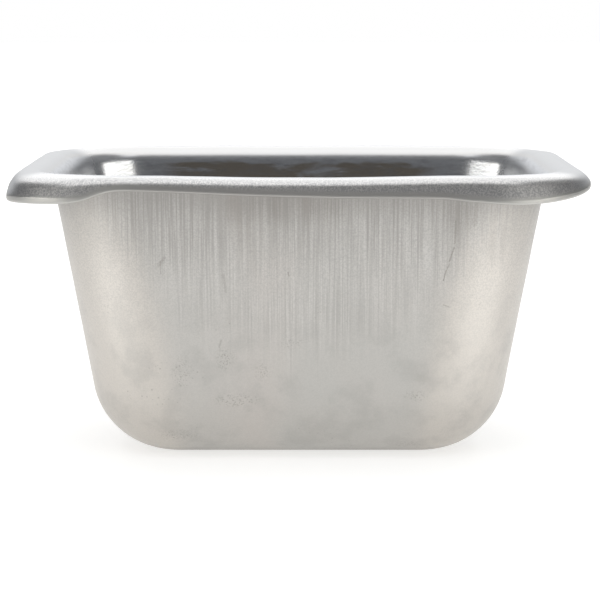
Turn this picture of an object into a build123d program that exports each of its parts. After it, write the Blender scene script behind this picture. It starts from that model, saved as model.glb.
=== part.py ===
"""Plain foot basin pressed from one sheet of stainless steel.

Frame: Z is up, the underside of the floor lies on Z = 0, the long side of
the rim runs along X, and the basin is centred on X = 0, Y = 0.
Every length is in millimetres.
"""
import os
from math import cos, radians, sin, tan

from build123d import *

# ---- driving dimensions ----
RIM_LENGTH = 420.0         # overall, along X, lip to lip
RIM_WIDTH = 340.0          # overall, along Y, lip to lip
HEIGHT = 212.5             # underside of the floor to the crest of the rim
SHEET = 1.2                # thickness of the pressed sheet

WALL_DRAFT = 9.3           # lean of the walls from upright, degrees
FLOOR_BEND = 64.0          # radius where the walls turn into the floor, outside
FLOOR_CORNER = 68.0        # plan radius of the upright corners at the floor

FLANGE_REACH = 20.4        # crest to lip, square to a side
CREST_CORNER = 71.1        # plan radius of the crest line at the four corners
CREST_BEND = 11.0          # radius from wall to flange, on the underside
SHELF = 7.4                # level part of the flange next to the crest
FLANGE_BEND = 9.0          # radius where the flange turns down, on the underside
FLANGE_SLOPE = 35.0        # fall of the outer part of the flange, degrees
LIP_CORNER = 65.0          # plan radius of the trimmed lip at the four corners
LIP_EDGE = 3.4             # height of the upright edge along the lip

SEAM_DROP = 16.0           # wall stays part of the swept rim down to this depth

# ---- figures that follow ----
crest_x = RIM_LENGTH / 2 - FLANGE_REACH      # half length of the crest line
crest_y = RIM_WIDTH / 2 - FLANGE_REACH       # half width of the crest line
seam_z = HEIGHT - SEAM_DROP
lean = tan(radians(WALL_DRAFT))
bend_z = HEIGHT - SHEET - CREST_BEND         # height of the crest bend centre
top_flange = FLANGE_BEND + SHEET             # radius of the flange bend, upper skin
flange_z = HEIGHT - top_flange               # height of the flange bend centre
fall = tan(radians(FLANGE_SLOPE))
# the flange is swept past the wide corners of the lip, then trimmed to the outline
blank_reach = 2 * FLANGE_REACH


def wall_offset(height, skin_radius):
    """Distance of a wall skin from the crest line, negative towards the inside."""
    tangent_height = bend_z + skin_radius * sin(radians(WALL_DRAFT))
    return -skin_radius * cos(radians(WALL_DRAFT)) - (tangent_height - height) * lean


def outline(height, offset, corner):
    """Rounded rectangle that follows the crest line at an offset."""
    return Plane.XY.offset(height) * RectangleRounded(
        2 * (crest_x + offset), 2 * (crest_y + offset), corner
    )


def tapered_block(skin_radius, floor_z, floor_bend, floor_corner):
    """Solid bounded by one skin of the walls, from the floor up to the seam."""
    seam_offset = wall_offset(seam_z, skin_radius)
    block = loft(
        [
            outline(floor_z, wall_offset(floor_z, skin_radius), floor_corner),
            outline(seam_z, seam_offset, CREST_CORNER + seam_offset),
        ],
        ruled=True,
    )
    floor_edges = block.faces().sort_by(Axis.Z)[0].edges()
    return fillet(floor_edges, floor_bend)


def bend_end(skin_radius):
    """End of the flange bend and start of its straight slope, out from the crest line."""
    return (
        SHELF + skin_radius * sin(radians(FLANGE_SLOPE)),
        flange_z + skin_radius * cos(radians(FLANGE_SLOPE)),
    )


def slope_end(skin_radius):
    """End of the straight slope, where the swept blank stops."""
    run, height = bend_end(skin_radius)
    return (blank_reach, height - (blank_reach - run) * fall)


def rim_section():
    """Section of the crest and flange, standing on the crest line."""
    top_bend = CREST_BEND + SHEET
    with BuildLine() as skin:
        inner = CenterArc((0, bend_z), top_bend, 90, 90 - WALL_DRAFT)
        Line(inner @ 1, (wall_offset(seam_z, top_bend), seam_z))
        upper = CenterArc((SHELF, flange_z), top_flange, 90, -FLANGE_SLOPE)
        Line(inner @ 0, upper @ 0)
        Line(upper @ 1, slope_end(top_flange))
        outer = CenterArc((0, bend_z), CREST_BEND, 90, 90 - WALL_DRAFT)
        Line(outer @ 1, (wall_offset(seam_z, CREST_BEND), seam_z))
        under = CenterArc((SHELF, flange_z), FLANGE_BEND, 90, -FLANGE_SLOPE)
        Line(outer @ 0, under @ 0)
        Line(under @ 1, slope_end(FLANGE_BEND))
        Line(slope_end(top_flange), slope_end(FLANGE_BEND))
        Line(
            (wall_offset(seam_z, top_bend), seam_z),
            (wall_offset(seam_z, CREST_BEND), seam_z),
        )
    return make_face(skin.line)


def edge_section():
    """Section that hangs from the middle of the sloping sheet down to the lip."""
    near_run, near_height = bend_end(top_flange)
    far_run, far_height = slope_end(top_flange)
    with BuildLine() as band:
        Polyline(
            (near_run, near_height - SHEET / 2),
            (far_run, far_height - SHEET / 2),
            (far_run, far_height - LIP_EDGE),
            (near_run, near_height - LIP_EDGE),
            close=True,
        )
    return make_face(band.line)


def prism(inset):
    """Upright block inside the outline of the lip."""
    sketch = Plane.XY * RectangleRounded(
        RIM_LENGTH - 2 * inset, RIM_WIDTH - 2 * inset, LIP_CORNER - inset
    )
    return extrude(sketch, amount=HEIGHT + SHEET)


def rim():
    """Crest and flange carried round the crest line, trimmed, with an upright edge."""
    crest_line = RectangleRounded(2 * crest_x, 2 * crest_y, CREST_CORNER).wire()
    # section plane: its x axis points outward at the middle of the +X side
    station = Plane(origin=(crest_x, 0, 0), x_dir=(1, 0, 0), z_dir=(0, -1, 0))
    flange = sweep(station * rim_section(), path=crest_line) & prism(0)
    hanging = sweep(station * edge_section(), path=crest_line)
    return flange + (hanging & (prism(0) - prism(SHEET)))


def basin():
    """One pressed sheet: floor, walls, crest and flange."""
    outer = tapered_block(CREST_BEND, 0, FLOOR_BEND, FLOOR_CORNER)
    inner = tapered_block(
        CREST_BEND + SHEET, SHEET, FLOOR_BEND - SHEET, FLOOR_CORNER - SHEET
    )
    return (outer - inner) + rim()


os.makedirs("parts", exist_ok=True)
solid = basin()
solid.label = "basin"
export_step(solid, "parts/basin.step")
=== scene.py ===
"""Foot-soak basin pressed from one sheet of stainless steel, on a pale floor in soft studio light.

Lengths are in metres. X runs along the long side of the rim, -Y faces the camera and Z is up.
The CAD basin is replaced by a finer mesh of the same sheet, with the small unevenness of a real pressing.
"""
from math import cos, pi, radians, sin, tan
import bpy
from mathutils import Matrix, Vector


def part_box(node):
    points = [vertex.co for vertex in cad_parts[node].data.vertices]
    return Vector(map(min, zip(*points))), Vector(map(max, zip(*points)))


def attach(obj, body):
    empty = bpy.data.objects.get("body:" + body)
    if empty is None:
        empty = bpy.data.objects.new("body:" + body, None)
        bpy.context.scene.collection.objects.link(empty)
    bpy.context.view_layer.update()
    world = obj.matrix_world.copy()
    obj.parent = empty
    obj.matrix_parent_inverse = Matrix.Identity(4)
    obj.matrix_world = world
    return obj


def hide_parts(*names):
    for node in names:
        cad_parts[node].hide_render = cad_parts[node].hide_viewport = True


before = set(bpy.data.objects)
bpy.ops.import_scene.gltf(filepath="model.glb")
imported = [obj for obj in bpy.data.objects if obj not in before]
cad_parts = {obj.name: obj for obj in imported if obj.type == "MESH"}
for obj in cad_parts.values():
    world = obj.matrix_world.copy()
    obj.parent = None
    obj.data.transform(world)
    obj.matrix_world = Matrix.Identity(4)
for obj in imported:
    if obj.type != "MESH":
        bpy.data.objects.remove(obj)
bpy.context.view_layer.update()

from types import SimpleNamespace

import bpy
import numpy as np
from mathutils import Vector, noise

# ---- the pressing: sizes as in the CAD model, but for the floor bend and the flange's section ----
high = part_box("basin")[1]
RIM_X = high.x                  # half length over the lip
RIM_Y = high.y                  # half width over the lip
HEIGHT = high.z
SHEET = 0.0012
WALL_DRAFT = radians(9.3)
FLOOR_BEND = 0.059              # wall to floor, outside; the CAD model has 64 mm
FLOOR_CORNER = 0.068            # plan radius of the corners at the floor
FLANGE_REACH = 0.0204           # crest to lip, square to a side
CREST_CORNER = 0.0711           # plan radius of the crest line
CREST_BEND = 0.011              # wall to flange, underside

# ---- how the trimmed lip varies round the rim ----
SIDE_BEND_EXTRA = 0.0075        # how much wider the crest bend is along the short sides
LIP_CORNERS = {"back": 0.065, "front_left": 0.062, "front_right": 0.077}
LIP_FALL_LEFT = 0.0067          # crest to lip in height, at the left end of the front
LIP_FALL_RIGHT = 0.0160         # the same, at the right end
RIGHT_DROOP = 0.0020            # the lip's further fall just before the front right corner
RIGHT_DROOP_SPAN = (0.095, 0.130)       # X where it starts and where it is full
SIDE_FALL = {"left": 0.0107, "right": 0.0086}
CORNER_FALL = {"back": 0.0060, "front_left": 0.0094, "front_right": 0.0038}
CORNER_GRIP = 0.0044            # extra reach over which most of a corner's fall comes
CORNER_CURVE = 1.5              # how gently it begins
FRONT_SAG = 0.0013              # dip of the front crest at its middle
SAG_SPAN = (0.02, 0.11)         # from the middle plane: full inside, none outside
SHELF_SLOPE = 0.02              # rise over run of the shelf next to the crest
SHELF_DROOP = 9.0               # extra slope for each metre of extra reach at the corners
FLANGE_BEND = 0.0070            # shelf to turned-down edge, upper skin
SIDE_FLANGE_BEND = 0.014        # the same along the short sides
EDGE_SLOPE = radians(73)        # the turned-down edge
SIDE_EDGE_SLOPE = radians(55)
LEAST_EDGE = 0.0004             # height of its straight part where the lip is highest
BACK_FALL = 0.0095              # crest to lip in height along the back
SKIRT = 0.0008                  # upright edge below the flange, at the middle of a side
SKIRT_GROWTH = 0.18             # extra skirt for each metre of extra reach at the corners
SKIRT_BEND = 0.0020
SKIRT_SLOPE = radians(86)
HEM = 0.0007                    # extra thickness of the lip's edge
HEM_WIDTH = 0.0016

# ---- the slow waves of a drawn sheet: features for each metre, and height ----
SLOW_WAVES, SLOW_HEIGHT = 14, 0.00035
QUICK_WAVES, QUICK_HEIGHT = 38, 0.00012
QUICK_SHIFT = Vector((7, 3, 1))         # keeps the two patterns apart
GROUNDED_BELOW = 0.03           # the waves fade towards the floor, which stays flat
LIP_EXTRA = 0.8                 # how much stronger they are at the lip

# ---- mesh density ----
CORNER_STEPS = 36
LONG_STEPS = 78
SHORT_STEPS = 52
SHELF_ROWS = 7
FLANGE_BEND_ROWS = 14
DROP_ROWS = 5
TURN_ROWS = 4
SKIRT_ROWS = 3
CREST_ROWS = 10
WALL_ROWS = 36
BEND_ROWS = 18
FLOOR_ROWS = 8
EDGE_ROWS = 4
HALVINGS = 40                   # steps of the search for the lip
BEND_FITS = 4                   # steps that fit the flange bend into a shallow fall
SIDE_SPACING = 5.0              # keeps the patterns of the four sides apart
FLOOR_MIDDLE = (0, 0.3, 0)      # its place on the sheet: deeper than every zone

CREST_ROW = SKIRT_ROWS + TURN_ROWS + DROP_ROWS + FLANGE_BEND_ROWS + SHELF_ROWS
crest_x = RIM_X - FLANGE_REACH
crest_y = RIM_Y - FLANGE_REACH


# ---------------------------------------------------------------- mesh of the sheet

def perimeter():
    """Stations round a rounded rectangle: straight-side share (fx, fy) and outward normal (nx, ny)."""
    corners = [(1, 1), (-1, 1), (-1, -1), (1, -1)]
    stations = []
    for quarter, (cx, cy) in enumerate(corners):
        start = quarter * pi / 2
        for step in range(CORNER_STEPS):
            angle = start + pi / 2 * step / CORNER_STEPS
            stations.append((cx, cy, cos(angle), sin(angle)))
        next_x, next_y = corners[(quarter + 1) % 4]
        steps = SHORT_STEPS if next_x == cx else LONG_STEPS
        for step in range(steps):
            share = step / steps
            stations.append((
                cx + (next_x - cx) * share,
                cy + (next_y - cy) * share,
                cos(start + pi / 2),
                sin(start + pi / 2),
            ))
    return np.array(stations).T


def ring(half_x, half_y, corner, height):
    """Points of one rounded rectangle, one for each station."""
    fx, fy, nx, ny = perimeter()
    return np.column_stack([
        fx * (half_x - corner) + nx * corner,
        fy * (half_y - corner) + ny * corner,
        np.broadcast_to(height, fx.shape),
    ])


def lip_reach(crest, normals):
    """Distance from each crest point, along its normal, to the trimmed lip."""
    radii = {
        (1, 1): LIP_CORNERS["back"],
        (-1, 1): LIP_CORNERS["back"],
        (-1, -1): LIP_CORNERS["front_left"],
        (1, -1): LIP_CORNERS["front_right"],
    }
    near = np.zeros(len(crest))
    far = np.full(len(crest), RIM_X)
    for _ in range(HALVINGS):
        middle = (near + far) / 2
        x, y = (crest[:, :2] + normals * middle[:, None]).T
        inside = (abs(x) <= RIM_X) & (abs(y) <= RIM_Y)
        for (sx, sy), radius in radii.items():
            dx = x * sx - (RIM_X - radius)
            dy = y * sy - (RIM_Y - radius)
            inside &= ~((dx > 0) & (dy > 0) & (np.hypot(dx, dy) > radius))
        near = np.where(inside, middle, near)
        far = np.where(inside, far, middle)
    return near


def smooth_step(value, start, end):
    """0 before start, 1 after end, with a smooth rise between."""
    share = np.clip((value - start) / (end - start), 0, 1)
    return share * share * (3 - 2 * share)


def lip_fall(crest, normals, reach):
    """Height from crest to lip at each station."""
    along = np.clip((crest[:, 0] / crest_x + 1) / 2, 0, 1)
    long_fall = LIP_FALL_LEFT + (LIP_FALL_RIGHT - LIP_FALL_LEFT) * along
    long_fall = np.where(crest[:, 1] > 0, BACK_FALL, long_fall)
    side_fall = np.where(normals[:, 0] < 0, SIDE_FALL["left"], SIDE_FALL["right"])
    side_share = normals[:, 0] ** 2
    fall = long_fall * (1 - side_share) + side_fall * side_share
    front = (crest[:, 1] < 0) * normals[:, 1] ** 2
    fall += RIGHT_DROOP * front * smooth_step(crest[:, 0], *RIGHT_DROOP_SPAN)
    front_corner = np.where(crest[:, 0] < 0, CORNER_FALL["front_left"], CORNER_FALL["front_right"])
    corner_fall = np.where(crest[:, 1] > 0, CORNER_FALL["back"], front_corner)
    extra = np.clip(reach - FLANGE_REACH, 0, None)
    return fall + corner_fall * (1 - np.exp(-(extra / CORNER_GRIP) ** CORNER_CURVE))


def flange_profile(reach, fall, start, side_share):
    """Distance out from the crest and down from it, for each row from the lip to the crest bend.

    A nearly level shelf bends down into a steep edge, which ends in a narrow upright skirt.
    """
    extra = reach - FLANGE_REACH
    edge_slope = EDGE_SLOPE + (SIDE_EDGE_SLOPE - EDGE_SLOPE) * side_share
    shelf_rise = SHELF_SLOPE + SHELF_DROOP * extra
    shelf_angle = np.arctan(shelf_rise)
    skirt = SKIRT + SKIRT_GROWTH * extra
    turn_out = SKIRT_BEND * (sin(SKIRT_SLOPE) - np.sin(edge_slope))
    turn_down = SKIRT_BEND * (np.cos(edge_slope) - cos(SKIRT_SLOPE))
    edge_out = reach - turn_out - skirt * cos(SKIRT_SLOPE)
    edge_down = fall - turn_down - skirt * sin(SKIRT_SLOPE)

    bend = FLANGE_BEND + (SIDE_FLANGE_BEND - FLANGE_BEND) * side_share
    for _ in range(BEND_FITS):
        bend_out = bend * (np.sin(edge_slope) - np.sin(shelf_angle))
        bend_down = bend * (np.cos(shelf_angle) - np.cos(edge_slope))
        shelf = edge_out - bend_out - (edge_down - bend_down) / np.tan(edge_slope)
        shelf /= 1 - shelf_rise / np.tan(edge_slope)
        straight = edge_down - bend_down - shelf * shelf_rise
        bend *= np.where(straight < LEAST_EDGE, (bend_down + straight - LEAST_EDGE) / bend_down, 1)

    rows = []
    for row in range(SKIRT_ROWS):
        left = skirt * row / SKIRT_ROWS
        rows.append((reach - left * cos(SKIRT_SLOPE), fall - left * sin(SKIRT_SLOPE)))
    for row in range(TURN_ROWS):
        angle = SKIRT_SLOPE + (edge_slope - SKIRT_SLOPE) * row / TURN_ROWS
        rows.append((
            edge_out + SKIRT_BEND * (np.sin(angle) - np.sin(edge_slope)),
            edge_down + SKIRT_BEND * (np.cos(edge_slope) - np.cos(angle)),
        ))
    for row in range(DROP_ROWS):
        left = straight * row / DROP_ROWS
        rows.append((edge_out - left / np.tan(edge_slope), edge_down - left))
    for row in range(FLANGE_BEND_ROWS):
        angle = edge_slope + (shelf_angle - edge_slope) * row / FLANGE_BEND_ROWS
        rows.append((
            shelf + bend * (np.sin(angle) - np.sin(shelf_angle)),
            shelf * shelf_rise + bend * (np.cos(shelf_angle) - np.cos(angle)),
        ))
    for row in range(SHELF_ROWS + 1):
        out = start + (shelf - start) * (1 - row / SHELF_ROWS)
        rows.append((out, out * out / shelf * shelf_rise))
    return rows


def upper_skin():
    """Rows of points from the lip over the crest and down the inside to the middle of the floor."""
    normals = perimeter()[2:].T
    crest = ring(crest_x, crest_y, CREST_CORNER, HEIGHT)
    reach = lip_reach(crest, normals)
    fall = lip_fall(crest, normals, reach)
    # where the crest bend is wider it meets the shelf farther out, and the wall stays in place
    least_bend = CREST_BEND + SHEET
    bend = least_bend + SIDE_BEND_EXTRA * normals[:, 0] ** 2
    start = (bend - least_bend) * tan((pi / 2 - WALL_DRAFT) / 2)

    def row_at(out, down):
        return np.column_stack([crest[:, :2] + normals * out[:, None], HEIGHT - down])

    profile = flange_profile(reach, fall, start, normals[:, 0] ** 2)
    rows = [row_at(out, down) for out, down in profile]
    start_down = HEIGHT - rows[-1][:, 2]
    for row in range(1, CREST_ROWS + 1):
        angle = (pi / 2 - WALL_DRAFT) * row / CREST_ROWS
        left = start_down * (1 - row / CREST_ROWS) ** 2
        rows.append(row_at(start - bend * sin(angle), bend * (1 - cos(angle)) + left))

    top_inset = least_bend * cos(WALL_DRAFT)
    top_height = HEIGHT - least_bend * (1 - sin(WALL_DRAFT))
    top_corner = CREST_CORNER - top_inset
    floor_bend = FLOOR_BEND - SHEET
    bend_height = SHEET + floor_bend * (1 - sin(WALL_DRAFT))

    def wall(height):
        inset = top_inset + (top_height - height) * tan(WALL_DRAFT)
        corner = top_corner + (FLOOR_CORNER - SHEET - top_corner) * (top_height - height) / top_height
        return crest_x - inset, crest_y - inset, corner

    half_x, half_y, corner = wall(bend_height)
    wall_top, wall_foot = rows[-1], ring(half_x, half_y, corner, bend_height)
    for row in range(1, WALL_ROWS + 1):
        share = row / WALL_ROWS
        rows.append(wall_top * (1 - share) + wall_foot * share)

    for row in range(1, BEND_ROWS + 1):
        angle = WALL_DRAFT + (pi / 2 - WALL_DRAFT) * row / BEND_ROWS
        inward = floor_bend * (cos(WALL_DRAFT) - cos(angle))
        height = SHEET + floor_bend * (1 - sin(angle))
        rows.append(ring(half_x - inward, half_y - inward, corner - inward, height))

    edge = rows[-1]
    for row in range(1, FLOOR_ROWS):
        share = 1 - row / FLOOR_ROWS
        rows.append(edge * [share, share, 1])
    rows = np.array(rows)
    in_front = (crest[:, 1] < 0) * normals[:, 1] ** 2
    sag = FRONT_SAG * in_front * (1 - smooth_step(abs(crest[:, 0]), *SAG_SPAN))
    rows[:, :, 2] -= sag * rows[:, :, 2] / HEIGHT
    return rows


def grid_normals(rows):
    """Outward unit normals of the upper skin, pointing into the well and up from the flange."""
    along = np.roll(rows, -1, axis=1) - np.roll(rows, 1, axis=1)
    down = np.gradient(rows, axis=0)
    normals = np.cross(along, down)
    normals /= np.linalg.norm(normals, axis=2, keepdims=True)
    return normals


def unevenness(rows):
    """Small shifts along the normal: the slow waves of drawn walls and a hand-trimmed lip."""
    shift = np.zeros(rows.shape[:2])
    for r in range(rows.shape[0]):
        for c in range(rows.shape[1]):
            point = Vector(rows[r, c])
            slow = noise.noise(point * SLOW_WAVES)
            quick = noise.noise(point * QUICK_WAVES + QUICK_SHIFT)
            shift[r, c] = SLOW_HEIGHT * slow + QUICK_HEIGHT * quick
    flange = np.clip(1 - np.arange(rows.shape[0]) / CREST_ROW, 0, 1)[:, None]
    grounded = np.clip(rows[:, :, 2] / GROUNDED_BELOW, 0, 1)
    return shift * grounded * (1 + LIP_EXTRA * flange)


def side_of_faces():
    """For each station, the side that the face after it belongs to, and each side's middle station.

    A side runs from the middle of one corner to the middle of the next.
    """
    half = CORNER_STEPS // 2
    sides, middles, station = [], [], 0
    for side, steps in enumerate((LONG_STEPS, SHORT_STEPS, LONG_STEPS, SHORT_STEPS)):
        sides += [(side - 1) % 4] * half + [side] * (CORNER_STEPS - half + steps)
        middles.append(station + CORNER_STEPS + steps // 2)
        station += CORNER_STEPS + steps
    return np.array(sides), np.array(middles)


def sheet_lengths(rows):
    """Distance round each row, with the closing length last, and down the sheet from the crest."""
    steps = np.linalg.norm(np.roll(rows, -1, axis=1) - rows, axis=2)
    run = np.concatenate([np.zeros((len(rows), 1)), np.cumsum(steps, axis=1)], axis=1)
    down_steps = np.linalg.norm(np.diff(rows, axis=0), axis=2)
    down = np.vstack([np.zeros(rows.shape[1]), np.cumsum(down_steps, axis=0)])
    return run, down - down[CREST_ROW]


def build_basin():
    """One closed mesh: upper skin, rounded lip edge and under skin."""
    upper = upper_skin()
    normals = grid_normals(upper)
    upper = upper + normals * unevenness(upper)[:, :, None]
    normals = grid_normals(upper)
    run, down = sheet_lengths(upper)

    lip_distance = down - down[0]
    hem = HEM * np.exp(-((lip_distance / HEM_WIDTH) ** 2))
    thickness = SHEET + hem
    under = upper - normals * thickness[:, :, None]
    under[-FLOOR_ROWS - 2:, :, 2] = np.maximum(under[-FLOOR_ROWS - 2:, :, 2], 0)

    edge_rows = []
    outward = upper[0] - upper[1]
    outward /= np.linalg.norm(outward, axis=1, keepdims=True)
    middle = (upper[0] + under[0]) / 2
    radius = thickness[0][:, None] / 2
    for row in range(1, EDGE_ROWS):
        angle = pi * row / EDGE_ROWS
        edge_rows.append(middle + radius * (cos(angle) * normals[0] + sin(angle) * outward))

    # rows run from the floor inside, up over the lip and down to the floor outside
    corner = sharpness()
    grid = np.concatenate([upper[::-1], np.array(edge_rows), under])
    sheet_u = np.concatenate([run[::-1], np.repeat(run[:1], EDGE_ROWS - 1, axis=0), run])
    sheet_v = np.concatenate([down[::-1], np.repeat(down[:1], EDGE_ROWS - 1, axis=0), down])
    side = np.concatenate([np.ones(len(upper)), np.linspace(1, 0, EDGE_ROWS + 1)[1:-1], np.zeros(len(under))])
    return grid, sheet_u, sheet_v, side, corner, sheet_v - down[0]


def sharpness():
    """How near each station is to a corner.

    0 in the middle of a side, 1 where the corner starts and 1.5 at the corner's middle.
    """
    fx, fy, nx, ny = perimeter()
    turn = 1 + 0.5 * np.sin(2 * np.arctan2(abs(ny), abs(nx)))
    straight = np.minimum(abs(fx), abs(fy))
    return np.where(straight < 1, straight, turn)


def basin_object():
    """The basin's mesh object, with the attributes that its material reads."""
    grid, sheet_u, sheet_v, side, corner, from_lip = build_basin()
    face_sides, middles = side_of_faces()
    count_rows, count_columns = grid.shape[:2]
    points = grid.reshape(-1, 3)
    centre_in = len(points)
    centre_out = centre_in + 1
    floor_in = [0, 0, grid[0, 0, 2]]
    floor_out = [0, 0, max(grid[-1, 0, 2], 0)]
    points = np.vstack([points, floor_in, floor_out])

    def place_on_sheet(r, c, owner):
        """Distance along the sheet from the middle of the side, distance down it, and the side's offset."""
        along = sheet_u[r, c] - sheet_u[r, middles[owner]]
        if along < -sheet_u[r, -1] / 2:
            along += sheet_u[r, -1]
        return along, sheet_v[r, c % count_columns], SIDE_SPACING * owner

    faces = []
    sheet_places = []
    for r in range(count_rows - 1):
        for c in range(count_columns):
            n = (c + 1) % count_columns
            owner = face_sides[c]
            faces.append((
                r * count_columns + c,
                (r + 1) * count_columns + c,
                (r + 1) * count_columns + n,
                r * count_columns + n,
            ))
            sheet_places += [
                place_on_sheet(r, c, owner),
                place_on_sheet(r + 1, c, owner),
                place_on_sheet(r + 1, c + 1, owner),
                place_on_sheet(r, c + 1, owner),
            ]
    last = count_rows - 1
    for c in range(count_columns):
        n = (c + 1) % count_columns
        owner = face_sides[c]
        faces.append((c, n, centre_in))
        sheet_places += [place_on_sheet(0, c, owner), place_on_sheet(0, c + 1, owner), FLOOR_MIDDLE]
        faces.append((last * count_columns + n, last * count_columns + c, centre_out))
        sheet_places += [place_on_sheet(last, c + 1, owner), place_on_sheet(last, c, owner), FLOOR_MIDDLE]

    mesh = bpy.data.meshes.new("basin_sheet")
    mesh.from_pydata(points.tolist(), [], faces)
    sheet = mesh.attributes.new("sheet", "FLOAT_VECTOR", "CORNER")
    sheet.data.foreach_set("vector", np.array(sheet_places, dtype=np.float32).ravel())
    # one value for each point; the last two are the middles of the floor, inside and outside
    for name, values, floor_values in (
        ("inside", np.repeat(side, count_columns), [1, 0]),
        ("cornered", np.tile(corner, count_rows), [0, 0]),
        ("short_side", np.tile(perimeter()[2] ** 2, count_rows), [0, 0]),
        ("from_lip", from_lip.ravel(), [1, 1]),
    ):
        attribute = mesh.attributes.new(name, "FLOAT", "POINT")
        attribute.data.foreach_set("value", np.concatenate([values, floor_values]).astype(np.float32))
    mesh.polygons.foreach_set("use_smooth", [True] * len(mesh.polygons))
    mesh.update()
    basin = bpy.data.objects.new("pressed_basin", mesh)
    bpy.context.collection.objects.link(basin)
    return basin


# ---------------------------------------------------------------- node helpers

class Tree:
    """Short calls for building a node tree."""

    def __init__(self, tree):
        self.tree = tree

    def node(self, kind, inputs=None, **settings):
        made = self.tree.nodes.new(kind)
        for name, value in settings.items():
            setattr(made, name, value)
        for key, value in (inputs or {}).items():
            self.feed(made.inputs[key], value)
        return made

    def feed(self, socket, value):
        if isinstance(value, bpy.types.NodeSocket):
            self.tree.links.new(value, socket)
        else:
            socket.default_value = value

    def math(self, operation, *values):
        return self.node("ShaderNodeMath", dict(enumerate(values)), operation=operation).outputs[0]

    def product(self, first, *others):
        for other in others:
            first = self.math("MULTIPLY", first, other)
        return first

    def scaled(self, vector, scale):
        made = self.node("ShaderNodeVectorMath", {0: vector, 1: scale}, operation="MULTIPLY")
        return made.outputs[0]

    def distance(self, first, second):
        made = self.node("ShaderNodeVectorMath", {0: first, 1: second}, operation="DISTANCE")
        return made.outputs["Value"]

    def noise(self, vector, scale, detail=3.0, roughness=0.5, distortion=0.0):
        made = self.node("ShaderNodeTexNoise", {
            "Vector": vector, "Scale": scale, "Detail": detail,
            "Roughness": roughness, "Distortion": distortion,
        })
        return made.outputs[0]

    def between(self, value, start, end, low=0.0, high=1.0):
        """A smooth step: low before start, high after end."""
        made = self.node("ShaderNodeMapRange", {
            "Value": value, "From Min": start, "From Max": end, "To Min": low, "To Max": high,
        }, interpolation_type="SMOOTHSTEP")
        return made.outputs[0]

    def blend(self, share, first, second):
        """Colour mix from first to second."""
        made = self.node("ShaderNodeMix", data_type="RGBA")
        self.feed(made.inputs["Factor"], share)
        for name, value in (("A", first), ("B", second)):
            socket = [s for s in made.inputs if s.name == name and s.type == "RGBA"][0]
            self.feed(socket, value)
        return [s for s in made.outputs if s.type == "RGBA"][0]

    def mix_value(self, share, first, second):
        made = self.node("ShaderNodeMix", data_type="FLOAT")
        self.feed(made.inputs["Factor"], share)
        for name, value in (("A", first), ("B", second)):
            socket = [s for s in made.inputs if s.name == name and s.type == "VALUE"][0]
            self.feed(socket, value)
        return [s for s in made.outputs if s.type == "VALUE"][0]


# ---------------------------------------------------------------- the steel

# zones, as (where it starts, where it is full), in metres unless said
RIM_DEPTH = (0.016, 0.009)          # down the sheet from the crest
EDGE_DEPTH = (-0.010, -0.020)       # the turned-down edge; depth is negative towards the lip
SIDE_BEND_DEPTH = (0.075, 0.045)
SKIRT_ZONE = (0.0060, 0.0020)       # from the lip
SKIRT_SHADE_EASES = (0.100, 0.140)     # from the middle plane, to each side: where the painted shade on the skirt lightens
SHORT_SIDE_ZONE = (0.55, 0.85)      # by the square of the plan normal's X
CORNER_HIGHLIGHT_ZONE = (0.85, 1.2)           # by the "cornered" attribute: where the painted highlight on the corners comes in
RIPPLE_CORNER = (0.75, 1.15)
RIPPLE_HEIGHT = (0.17, 0.12)
LINES_HEIGHT = (0.057, 0.122)       # height above the floor, as below
LINES_STRENGTHEN = (0.125, 0.195)
CLOUD_HEIGHT = (0.14, 0.08)
GRAIN_HEIGHT = (0.05, 0.195)
# painted shade under the rim: a broad band, and a darker strip right under the lip
UPPER_SHADE_HEIGHT = (0.132, 0.192)
SHADE_HEIGHT = (0.174, 0.203)
STREAK_HEIGHT = (0.12, 0.20)
PIT_HEIGHT = (0.15, 0.11)
FOOT_DARKENING_HEIGHT = (0.0080, 0.0010)
TIDE_START = (0.0185, 0.0215)       # down the sheet from the crest
TIDE_FADE = (0.070, 0.035)
TIDE_WAVES = 0.012                  # how far the tide mark wanders
LINES_CORNER_RISE = 0.048           # how much higher the draw lines end towards the corners
RAGGED_HEIGHT = 0.12                # spread of the heights where single lines end

# pattern scales: features for each metre along the sheet and down it, and a factor on the side's offset
FINE_LINES = (860, 12, 1)
BROAD_LINES = (430, 7, 1)
RAGGED_ENDS = (300, 4, 1)
STREAKS = (55, 7, 1)
RIPPLES = (150, 620, 1)
# the same for even patterns
TINT = 11.0
PATCHES = 16.0
STAIN = 17.0
PIT_CLUSTERS = 30.0
CLOUDS = 36.0
FILM = 70.0
PITS = 330.0
ORANGE_PEEL = 620.0
DENTS = 780.0
GRAIN = 900.0
STROKE_RAGGEDNESS = 1500.0

# base colours
WARM_STEEL = (0.528, 0.502, 0.474, 1)
GREEN_STEEL = (0.494, 0.486, 0.463, 1)
PLAIN_STEEL = (0.513, 0.499, 0.474, 1)
# painted highlight: warmer, lighter steel on the corners
PAINTED_CORNER_HIGHLIGHT = (0.575, 0.545, 0.505, 1)
CLOUD_COLOUR = (0.39, 0.38, 0.362, 1)
LINE_DARK = (0.375, 0.362, 0.345, 1)
LINE_LIGHT = (0.60, 0.585, 0.562, 1)
GRAIN_COLOUR = (0.33, 0.325, 0.32, 1)
# painted shade under the rim
PAINTED_RIM_SHADE_COLOUR = (0.275, 0.265, 0.25, 1)
STREAK_COLOUR = (0.32, 0.30, 0.28, 1)
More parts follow.
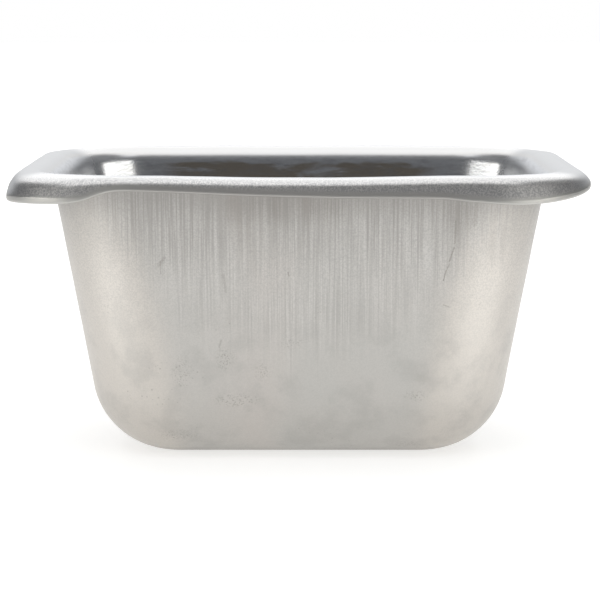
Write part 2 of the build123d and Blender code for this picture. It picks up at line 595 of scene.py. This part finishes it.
# smudges, and painted shade under the middle of the lip
SMUDGE_AND_SHADE_COLOUR = (0.20, 0.185, 0.165, 1)
SCUFF_COLOUR = (0.23, 0.215, 0.195, 1)
SCRATCH_COLOUR = (0.17, 0.155, 0.135, 1)
PIT_COLOUR = (0.22, 0.21, 0.195, 1)
FOOT_DARKENING_COLOUR = (0.24, 0.215, 0.19, 1)
WELL_COLOUR = (0.57, 0.58, 0.595, 1)
STAIN_COLOUR = (0.355, 0.315, 0.265, 1)
FILM_COLOUR = (0.33, 0.33, 0.34, 1)
SHELF_COLOUR = (0.635, 0.63, 0.62, 1)
EDGE_COLOUR = (0.65, 0.64, 0.622, 1)
WORN_COLOUR = (0.33, 0.33, 0.335, 1)
# painted shade: a darker, bluer colour for the short sides of the rim
SHORT_SIDE_SHADE_COLOUR = (0.47, 0.475, 0.48, 1)
# painted shade on the skirt under the lip, darkest near the middle plane
SKIRT_SHADE_MIDDLE = (0.38, 0.37, 0.355, 1)
SKIRT_SHADE_ENDS = (0.44, 0.435, 0.415, 1)
SHORT_SIDE_SHADE = 0.85                     # how much of the painted shade the short sides take

# roughness: lowest and highest, or one value
SATIN = (0.38, 0.46)
POLISHED = (0.15, 0.24)
EDGE_ROUGHNESS = 0.30
SKIRT_ROUGHNESS = 0.42
SIDE_BEND_ROUGHNESS = 0.43
LINE_RELIEF = 0.00008               # depth of the draw lines
PEEL_RELIEF = 0.00010

# marks on the front wall, and painted shade under the lip: middle by X and Z, half size (or both ends, and
# half width), and strength
SMUDGES_AND_LIP_SHADE = (
    ((-0.010, 0.190), (0.075, 0.020), 0.26),        # painted shade under the middle of the lip
    ((0.114, 0.184), (0.020, 0.020), 0.22),
    ((-0.088, 0.163), (0.028, 0.032), 0.10),
    ((0.088, 0.063), (0.008, 0.006), 0.10),
)
SCUFFS = (                                          # clusters of small dents low on the wall
    ((-0.045, 0.047), (0.024, 0.007), 0.60),
    ((-0.053, 0.078), (0.010, 0.012), 0.60),
    ((-0.085, 0.068), (0.010, 0.015), 0.50),
    ((-0.027, 0.069), (0.009, 0.010), 0.40),
    ((0.084, 0.050), (0.012, 0.006), 0.50),
    ((-0.005, 0.090), (0.012, 0.008), 0.35),
    ((-0.088, 0.018), (0.022, 0.008), 0.45),
    ((0.080, 0.009), (0.016, 0.005), 0.50),
)
SCRATCHES = (
    ((0.1105, 0.179), (0.1102, 0.163), 0.0008, 0.30),
    ((0.1098, 0.160), (0.1065, 0.150), 0.0008, 0.40),
    ((0.1067, 0.148), (0.1043, 0.143), 0.0007, 0.30),
    ((0.1043, 0.143), (0.1026, 0.136), 0.0006, 0.50),
    ((0.1255, 0.196), (0.1240, 0.177), 0.0026, 0.16),
    ((-0.0960, 0.152), (-0.1000, 0.147), 0.0020, 0.22),
    ((-0.0985, 0.150), (-0.0985, 0.141), 0.0007, 0.25),
    ((-0.0540, 0.140), (-0.0525, 0.128), 0.0014, 0.20),
    ((-0.0080, 0.142), (-0.0074, 0.139), 0.0006, 0.40),
    ((0.1030, 0.118), (0.1070, 0.1165), 0.0006, 0.35),
    ((-0.0560, 0.092), (-0.0575, 0.087), 0.0009, 0.28),
)


def oval_mask(tree, place, centre, half_size):
    """A soft oval patch, 1 in the middle."""
    (x, z), (across, up) = centre, half_size
    away = tree.node("ShaderNodeVectorMath", {0: place, 1: (x, 0, z)}, operation="SUBTRACT").outputs[0]
    away = tree.scaled(away, (1 / across, 0, 1 / up))
    length = tree.node("ShaderNodeVectorMath", {0: away}, operation="LENGTH").outputs["Value"]
    return tree.between(length, 1.0, 0.2)


def scratch_mask(tree, place, start, end, width):
    """A thin ragged stroke from start to end."""
    first = Vector((start[0], 0, start[1]))
    stroke = Vector((end[0], 0, end[1])) - first
    flat = tree.scaled(place, (1, 0, 1))
    away = tree.node("ShaderNodeVectorMath", {0: flat, 1: first}, operation="SUBTRACT").outputs[0]
    along = tree.node("ShaderNodeVectorMath", {
        0: away, 1: stroke / stroke.length_squared,
    }, operation="DOT_PRODUCT").outputs["Value"]
    along = tree.node("ShaderNodeClamp", {0: along}).outputs[0]
    nearest = tree.node("ShaderNodeVectorMath", {0: stroke, "Scale": along}, operation="SCALE").outputs[0]
    gap = tree.distance(away, nearest)
    ragged = tree.math("SUBTRACT", tree.noise(place, STROKE_RAGGEDNESS, detail=2.0, roughness=0.6), 0.5)
    gap = tree.math("ADD", gap, tree.math("MULTIPLY", ragged, width * 1.6))
    return tree.between(gap, width, width * 0.3)


def sheet_fields(tree):
    """What colour, roughness and relief share: places on the sheet, zones from 0 to 1, and patterns."""
    def attribute(name, output="Fac"):
        return tree.node("ShaderNodeAttribute", attribute_name=name).outputs[output]

    f = SimpleNamespace()
    f.place = tree.node("ShaderNodeTexCoord").outputs["Object"]
    x, y, f.height = tree.node("ShaderNodeSeparateXYZ", {0: f.place}).outputs
    f.sheet = attribute("sheet", "Vector")
    f.depth = tree.node("ShaderNodeSeparateXYZ", {0: f.sheet}).outputs["Y"]
    f.corner = attribute("cornered")
    f.short_side = attribute("short_side")
    f.off_centre = tree.math("ABSOLUTE", x)

    # zones
    f.inside = attribute("inside")
    f.outside = tree.math("SUBTRACT", 1.0, f.inside)
    on_rim = tree.between(f.depth, *RIM_DEPTH)
    f.rim_top = tree.product(on_rim, f.inside)
    f.well = tree.product(tree.math("SUBTRACT", 1.0, on_rim), f.inside)
    f.on_edge = tree.between(f.depth, *EDGE_DEPTH)
    f.on_skirt = tree.between(attribute("from_lip"), *SKIRT_ZONE)
    # the short sides inside: rougher, and darker by painted shade
    f.dull_side = tree.product(tree.between(f.short_side, *SHORT_SIDE_ZONE), f.inside)
    f.on_front = tree.product(f.outside, tree.math("LESS_THAN", y, 0.0))

    # patterns
    f.fine_lines = tree.noise(tree.scaled(f.sheet, FINE_LINES), 1.0, detail=2.0, roughness=0.6)
    f.broad_lines = tree.noise(tree.scaled(f.sheet, BROAD_LINES), 1.0, roughness=0.65)
    f.streaks = tree.noise(tree.scaled(f.sheet, STREAKS), 1.0, detail=4.0, roughness=0.6)
    f.patches = tree.noise(f.place, PATCHES, roughness=0.55)
    f.peel = tree.noise(f.place, ORANGE_PEEL, detail=2.0)
    f.grain = tree.noise(f.place, GRAIN, roughness=0.7)
    f.lined = lined_zone(tree, f)
    return f


def lined_zone(tree, f):
    """Where the draw lines are: down from the rim, ending raggedly, lowest in the middle of each side."""
    rise = tree.product(tree.math("POWER", f.corner, 2.0), LINES_CORNER_RISE)
    ragged = tree.noise(tree.scaled(f.sheet, RAGGED_ENDS), 1.0, roughness=0.6)
    shift = tree.product(tree.math("SUBTRACT", ragged, 0.5), RAGGED_HEIGHT)
    line_height = tree.math("ADD", tree.math("SUBTRACT", f.height, rise), shift)
    patchy = tree.between(f.patches, 0.25, 0.6, low=0.35)
    return tree.product(tree.between(line_height, *LINES_HEIGHT), patchy, f.outside)


def outside_colour(tree, f):
    """Faint warm and green-grey patches, a painted highlight on the corners, draw lines, grain, and a darker
    streaked band under the rim: painted shade, with streaks over it.
    """
    tint = tree.noise(tree.scaled(f.place, (1, 1, 0.6)), TINT, detail=2.0, distortion=0.4)
    colour = tree.blend(tree.between(tint, 0.35, 0.65), WARM_STEEL, GREEN_STEEL)
    colour = tree.blend(tree.between(f.patches, 0.3, 0.7, high=0.6), colour, PLAIN_STEEL)
    # painted highlight: the corners turn warmer and lighter
    colour = tree.blend(tree.between(f.corner, *CORNER_HIGHLIGHT_ZONE, high=0.9), colour, PAINTED_CORNER_HIGHLIGHT)
    clouds = tree.between(tree.noise(f.place, CLOUDS, detail=4.0, roughness=0.62), 0.44, 0.66)
    clouds = tree.product(clouds, tree.between(f.height, *CLOUD_HEIGHT, low=0.12, high=0.36))
    colour = tree.blend(clouds, colour, CLOUD_COLOUR)

    line_mix = tree.math("ADD", tree.product(f.fine_lines, 0.65), tree.product(f.broad_lines, 0.35))
    lined_colour = tree.blend(tree.between(line_mix, 0.40, 0.60), LINE_DARK, LINE_LIGHT)
    strength = tree.between(f.height, *LINES_STRENGTHEN, low=0.50)
    colour = tree.blend(tree.product(f.lined, strength), colour, lined_colour)

    grained = tree.between(f.height, *GRAIN_HEIGHT, low=0.12, high=0.48)
    grained = tree.product(tree.between(f.grain, 0.42, 0.60), grained, f.outside)
    colour = tree.blend(grained, colour, GRAIN_COLOUR)
    # painted shade: darker under the rim, darkest right under the lip
    band = tree.between(f.height, *UPPER_SHADE_HEIGHT, high=0.34)
    painted_rim_shade = tree.math("ADD", band, tree.between(f.height, *SHADE_HEIGHT, high=0.38))
    colour = tree.blend(tree.product(painted_rim_shade, f.outside), colour, PAINTED_RIM_SHADE_COLOUR)
    streaked = tree.between(f.height, *STREAK_HEIGHT, high=0.45)
    streaked = tree.product(tree.between(f.streaks, 0.52, 0.68), streaked, f.outside)
    return tree.blend(streaked, colour, STREAK_COLOUR)


def with_marks_and_shade(tree, f, colour):
    """Handling marks and painted shade under the lip on the front wall, pits low down all round, and a
    darker, browner foot.
    """
    smeared = tree.between(f.streaks, 0.3, 0.6, low=0.3)
    # the first entry is painted shade under the middle of the lip; the rest are smudges
    for centre, half_size, strength in SMUDGES_AND_LIP_SHADE:
        smudge_and_shade = tree.product(oval_mask(tree, f.place, centre, half_size), smeared, f.on_front, strength)
        colour = tree.blend(smudge_and_shade, colour, SMUDGE_AND_SHADE_COLOUR)
    dents = tree.between(tree.noise(f.place, DENTS, roughness=0.65), 0.50, 0.64)
    for centre, half_size, strength in SCUFFS:
        scuff = tree.product(oval_mask(tree, f.place, centre, half_size), dents, f.on_front, strength)
        colour = tree.blend(scuff, colour, SCUFF_COLOUR)
    for start, end, width, strength in SCRATCHES:
        scratch = tree.product(scratch_mask(tree, f.place, start, end, width), f.on_front, strength)
        colour = tree.blend(scratch, colour, SCRATCH_COLOUR)

    dots = tree.node("ShaderNodeTexVoronoi", {"Vector": f.place, "Scale": PITS}).outputs["Distance"]
    dots = tree.math("ADD", dots, tree.between(f.peel, 0.35, 0.65, high=0.25))
    clusters = tree.between(tree.noise(f.place, PIT_CLUSTERS, detail=2.0), 0.59, 0.69)
    low_down = tree.between(f.height, *PIT_HEIGHT, high=0.42)
    pits = tree.product(tree.between(dots, 0.34, 0.14), clusters, f.outside, low_down)
    colour = tree.blend(pits, colour, PIT_COLOUR)
    # darker and browner towards the foot
    darker_foot = tree.product(tree.between(f.height, *FOOT_DARKENING_HEIGHT, high=0.5), f.outside)
    return tree.blend(darker_foot, colour, FOOT_DARKENING_COLOUR)


def well_colour(tree, f):
    """Smooth steel with a thin film and a brown tide mark, faint in the corners and on the short sides."""
    stain = tree.noise(tree.scaled(f.place, (1, 1, 4.0)), STAIN, detail=5.0, roughness=0.66, distortion=0.5)
    shift = tree.product(tree.math("SUBTRACT", stain, 0.5), TIDE_WAVES)
    tide = tree.product(
        tree.between(tree.math("ADD", f.depth, shift), *TIDE_START),
        tree.between(f.depth, *TIDE_FADE, low=0.2),
        tree.between(f.corner, 1.0, 0.8, low=0.12),
        tree.between(f.short_side, 0.8, 0.4, low=0.1),
    )
    stained = tree.product(tree.between(stain, 0.38, 0.52), tide)
    colour = tree.blend(stained, WELL_COLOUR, STAIN_COLOUR)
    film = tree.noise(tree.scaled(f.place, (1, 1, 5.0)), FILM, detail=4.0, roughness=0.7)
    return tree.blend(tree.between(film, 0.46, 0.70, high=0.45), colour, FILM_COLOUR)


def rim_colour(tree, f):
    """Bright shelf, slightly worn turned-down edge, and short sides darkened with painted shade."""
    colour = tree.blend(f.on_edge, SHELF_COLOUR, EDGE_COLOUR)
    worn = tree.product(tree.between(f.grain, 0.42, 0.58, high=0.75), f.on_edge)
    colour = tree.blend(worn, colour, WORN_COLOUR)
    # painted shade on the short sides
    return tree.blend(tree.product(f.dull_side, SHORT_SIDE_SHADE), colour, SHORT_SIDE_SHADE_COLOUR)


def sheet_roughness(tree, f):
    satin = tree.between(f.peel, 0.3, 0.7, *SATIN)
    polished = tree.between(f.grain, 0.3, 0.7, *POLISHED)
    roughness = tree.mix_value(f.inside, satin, polished)
    roughness = tree.mix_value(tree.product(f.on_edge, f.inside), roughness, EDGE_ROUGHNESS)
    roughness = tree.mix_value(f.on_skirt, roughness, SKIRT_ROUGHNESS)
    side_bend = tree.product(f.dull_side, tree.between(f.depth, *SIDE_BEND_DEPTH))
    return tree.mix_value(side_bend, roughness, SIDE_BEND_ROUGHNESS)


def sheet_relief(tree, f):
    """Surface normal: draw lines, orange peel, and ripples across the lower corners."""
    line_relief = tree.product(tree.math("ADD", f.fine_lines, f.broad_lines), f.lined)
    line_bump = tree.node("ShaderNodeBump", {
        "Strength": 0.6, "Distance": LINE_RELIEF, "Height": line_relief,
    })
    ripples = tree.product(
        tree.noise(tree.scaled(f.sheet, RIPPLES), 1.0, detail=2.0, roughness=0.55, distortion=0.3),
        tree.between(f.corner, *RIPPLE_CORNER),
        tree.between(f.height, *RIPPLE_HEIGHT, high=1.4),
        f.outside,
    )
    peel = tree.product(f.peel, tree.between(f.corner, 0.6, 1.2, low=0.5))
    peel_bump = tree.node("ShaderNodeBump", {
        "Strength": 0.4, "Distance": PEEL_RELIEF, "Height": tree.math("ADD", peel, ripples),
        "Normal": line_bump.outputs[0],
    })
    return peel_bump.outputs[0]


def steel_material():
    """Drawn stainless steel: satin outside with draw lines, brighter rim, smooth stained inside."""
    material = bpy.data.materials.new("pressed_steel")
    material.use_nodes = True
    tree = Tree(material.node_tree)
    material.node_tree.nodes.clear()
    f = sheet_fields(tree)

    colour = with_marks_and_shade(tree, f, outside_colour(tree, f))
    colour = tree.blend(f.well, colour, well_colour(tree, f))
    colour = tree.blend(f.rim_top, colour, rim_colour(tree, f))
    # painted shade on the skirt under the lip: darkest near the middle plane
    painted_skirt_shade = tree.blend(tree.between(f.off_centre, *SKIRT_SHADE_EASES), SKIRT_SHADE_MIDDLE, SKIRT_SHADE_ENDS)
    colour = tree.blend(f.on_skirt, colour, painted_skirt_shade)
    shader = tree.node("ShaderNodeBsdfPrincipled", {
        "Base Color": colour, "Roughness": sheet_roughness(tree, f), "Normal": sheet_relief(tree, f),
    })
    shader.inputs["Metallic"].default_value = 1.0
    tree.node("ShaderNodeOutputMaterial", {"Surface": shader.outputs[0]})
    return material


# ---------------------------------------------------------------- floor, light and camera

FLOOR_REACH = 12.0              # half size
FLOOR_COLOUR = (0.5, 0.5, 0.5, 1)
FLOOR_LIGHT = (1.0, 0.995, 0.98, 1)
FLOOR_GLOW = 0.66               # the floor is a lit table
POOL_GLOW = 0.5                 # painted pools of light: at each side, outside the picture, the floor itself glows brighter
POOLS = (((-0.37, -0.23), 0.17), ((0.36, -0.25), 0.22))         # middle and radius
POOL_CORE = 0.4                 # share of the radius that glows in full


def floor_object():
    """A wide pale light table."""
    corners = [(x * FLOOR_REACH, y * FLOOR_REACH, 0) for x, y in ((-1, -1), (1, -1), (1, 1), (-1, 1))]
    mesh = bpy.data.meshes.new("studio_floor")
    mesh.from_pydata(corners, [], [(0, 1, 2, 3)])
    floor = bpy.data.objects.new("studio_floor", mesh)
    bpy.context.collection.objects.link(floor)
    material = bpy.data.materials.new("pale_floor")
    material.use_nodes = True
    shader = material.node_tree.nodes["Principled BSDF"]
    shader.inputs["Base Color"].default_value = FLOOR_COLOUR
    shader.inputs["Roughness"].default_value = 0.9
    shader.inputs["Specular IOR Level"].default_value = 0.1
    shader.inputs["Emission Color"].default_value = FLOOR_LIGHT
    tree = Tree(material.node_tree)
    place = tree.node("ShaderNodeTexCoord").outputs["Object"]
    glow = FLOOR_GLOW
    for (x, y), radius in POOLS:
        away = tree.distance(place, (x, y, 0))
        glow = tree.math("ADD", glow, tree.between(away, radius, radius * POOL_CORE, high=POOL_GLOW))
    tree.feed(shader.inputs["Emission Strength"], glow)
    mesh.materials.append(material)
    return floor


SWEEP = (1.45, 1.46, 1.48, 1)       # white paper behind and above
SWEEP_LOW = (0.82, 0.84, 0.88, 1)   # the same paper near the ground
SWEEP_DIM = (2, 16)                 # degrees up between which it brightens
ROOM = (0.17, 0.175, 0.185, 1)
CEILING = (0.34, 0.34, 0.345, 1)
ROOM_TO_CEILING = (9, 44)           # degrees up
SOFTBOX = (4.0, 3.95, 3.8, 1)
SWEEP_TOP = (143, 113)              # degrees up from the back: where the paper ends, and where it is full
SWEEP_SIDE = (39, 23)               # the same in degrees to each side of the middle plane
# degrees round from the camera, left and right: the soft edges where each box starts and ends
SOFTBOX_SIDES = {-1: ((39, 43), (94, 88)), 1: ((31, 35), (87, 81))}
SOFTBOX_TOP = (21, 17)              # degrees up, outside and inside the soft edge
SOFTBOX_FOOT = (4, 8)


def studio_world():
    """A white sweep behind and above, a dim room elsewhere and a low softbox at each side."""
    world = bpy.data.worlds.new("studio")
    bpy.context.scene.world = world
    world.use_nodes = True
    tree = Tree(world.node_tree)
    world.node_tree.nodes.clear()
    direction = tree.node("ShaderNodeTexCoord").outputs["Generated"]
    split = tree.node("ShaderNodeSeparateXYZ", {0: direction})
    x, y, z = split.outputs[0], split.outputs[1], split.outputs[2]
    around = tree.math("ARCTAN2", x, tree.math("MULTIPLY", y, -1.0))
    above = tree.math("ARCSINE", z)
    aside = tree.math("ABSOLUTE", tree.math("ARCSINE", x))
    over = tree.math("ARCTAN2", z, y)

    def within(angle, limits):
        start, end = limits
        return tree.between(angle, radians(start), radians(end))

    room = tree.blend(within(above, ROOM_TO_CEILING), ROOM, CEILING)
    paper = tree.blend(within(above, SWEEP_DIM), SWEEP_LOW, SWEEP)
    light = tree.blend(tree.product(within(aside, SWEEP_SIDE), within(over, SWEEP_TOP)), room, paper)
    for side, (start, end) in SOFTBOX_SIDES.items():
        turned = tree.product(around, float(side))
        box = tree.product(within(turned, start), within(turned, end))
        box = tree.product(box, within(above, SOFTBOX_TOP), within(above, SOFTBOX_FOOT))
        light = tree.blend(box, light, SOFTBOX)

    lit = tree.node("ShaderNodeBackground", {"Color": light, "Strength": 1.0})
    seen = tree.node("ShaderNodeBackground", {"Color": (1, 1, 1, 1), "Strength": 1.0})
    camera_ray = tree.node("ShaderNodeLightPath").outputs["Is Camera Ray"]
    mixed = tree.node("ShaderNodeMixShader", {0: camera_ray, 1: lit.outputs[0], 2: seen.outputs[0]})
    tree.node("ShaderNodeOutputWorld", {"Surface": mixed.outputs[0]})


LAMP_PLACE = (0, -0.6, 3.2)
LAMP_SIZE = 4.0
LAMP_POWER = 30.0
CAMERA_PLACE = (0.0005, -1.786, 0.3451)
CAMERA_TILT = 7.664                 # degrees down from level
FOCAL_LENGTH = 140.9                # millimetres, on a sensor 36 mm wide


def overhead_lamp():
    """A broad soft lamp that lights the floor; the steel doesn't mirror it."""
    data = bpy.data.lights.new("overhead", "AREA")
    data.shape = "DISK"
    data.size = LAMP_SIZE
    data.energy = LAMP_POWER
    lamp = bpy.data.objects.new("overhead", data)
    lamp.location = LAMP_PLACE
    lamp.visible_glossy = False
    bpy.context.collection.objects.link(lamp)


def studio_camera():
    """A long lens, a little above the rim, square to the long side."""
    data = bpy.data.cameras.new("camera")
    data.sensor_width = 36.0
    data.lens = FOCAL_LENGTH
    camera = bpy.data.objects.new("camera", data)
    camera.location = CAMERA_PLACE
    camera.rotation_euler = (radians(90 - CAMERA_TILT), 0, 0)
    bpy.context.collection.objects.link(camera)
    bpy.context.scene.camera = camera


studio_camera()
floor_object()
studio_world()
overhead_lamp()
bpy.context.scene.view_settings.view_transform = "Standard"

basin = basin_object()
basin.data.materials.append(steel_material())
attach(basin, "root")
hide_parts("basin")
